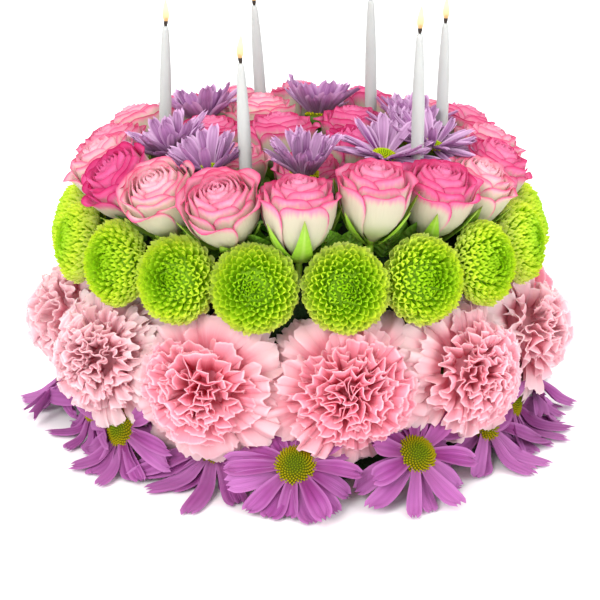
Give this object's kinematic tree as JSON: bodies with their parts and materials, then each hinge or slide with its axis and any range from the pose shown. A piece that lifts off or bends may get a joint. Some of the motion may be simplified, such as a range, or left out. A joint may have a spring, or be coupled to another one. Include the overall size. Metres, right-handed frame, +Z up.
{
  "type": "birthday flower cake with candles",
  "caption": "Round cake-shaped arrangement of fresh roses, button chrysanthemums, carnations and daisies on floral foam, with slim taper candles standing in its crown.",
  "frame": {"origin": "middle of the foam's base, on the surface that the cake stands on", "axes": "+Z up along the cake's axis; -Y faces the viewer; +X to the viewer's right"},
  "size_m": [0.2868, 0.2882, 0.201],
  "materials": {
    "floral_foam": "wet, matt, fine open pores",
    "carnation_petal": "soft matt petal, pale towards the fringed edge",
    "button_pom": "soft matt petal",
    "rose_petal": "satin petal, cream outside with a deep pink edge",
    "daisy_petal": "soft matt petal",
    "candle_wax": "smooth wax, slight sheen"
  },
  "bodies": {
    "root": {"foam_core": "floral_foam", "carnation_01": "carnation_petal", "carnation_02": "carnation_petal", "carnation_03": "carnation_petal", "carnation_04": "carnation_petal", "carnation_05": "carnation_petal", "carnation_06": "carnation_petal", "carnation_07": "carnation_petal", "carnation_08": "carnation_petal", "carnation_09": "carnation_petal", "carnation_10": "carnation_petal", "carnation_11": "carnation_petal", "daisy_skirt": "daisy_petal", "button_pom_spray_1": "button_pom", "button_pom_spray_2": "button_pom", "button_pom_spray_3": "button_pom", "button_pom_spray_4": "button_pom", "button_pom_spray_5": "button_pom", "button_pom_spray_6": "button_pom", "rose_01": "rose_petal", "rose_02": "rose_petal", "rose_03": "rose_petal", "rose_04": "rose_petal", "rose_05": "rose_petal", "rose_06": "rose_petal", "rose_07": "rose_petal", "rose_08": "rose_petal", "rose_09": "rose_petal", "rose_10": "rose_petal", "rose_11": "rose_petal", "rose_12": "rose_petal", "rose_13": "rose_petal", "rose_14": "rose_petal", "rose_15": "rose_petal", "rose_16": "rose_petal", "rose_17": "rose_petal", "rose_18": "rose_petal", "crown_rose_1": "rose_petal", "crown_rose_2": "rose_petal", "crown_rose_3": "rose_petal", "crown_rose_4": "rose_petal", "crown_rose_5": "rose_petal", "crown_rose_6": "rose_petal", "crown_rose_7": "rose_petal", "crown_daisy_01": "daisy_petal", "crown_daisy_02": "daisy_petal", "crown_daisy_03": "daisy_petal", "crown_daisy_04": "daisy_petal", "crown_daisy_05": "daisy_petal", "crown_daisy_06": "daisy_petal", "crown_daisy_07": "daisy_petal", "crown_daisy_08": "daisy_petal", "crown_daisy_09": "daisy_petal", "candle_1": "candle_wax", "candle_2": "candle_wax", "candle_3": "candle_wax", "candle_4": "candle_wax", "candle_5": "candle_wax", "candle_6": "candle_wax"}
  },
  "joints": []
}
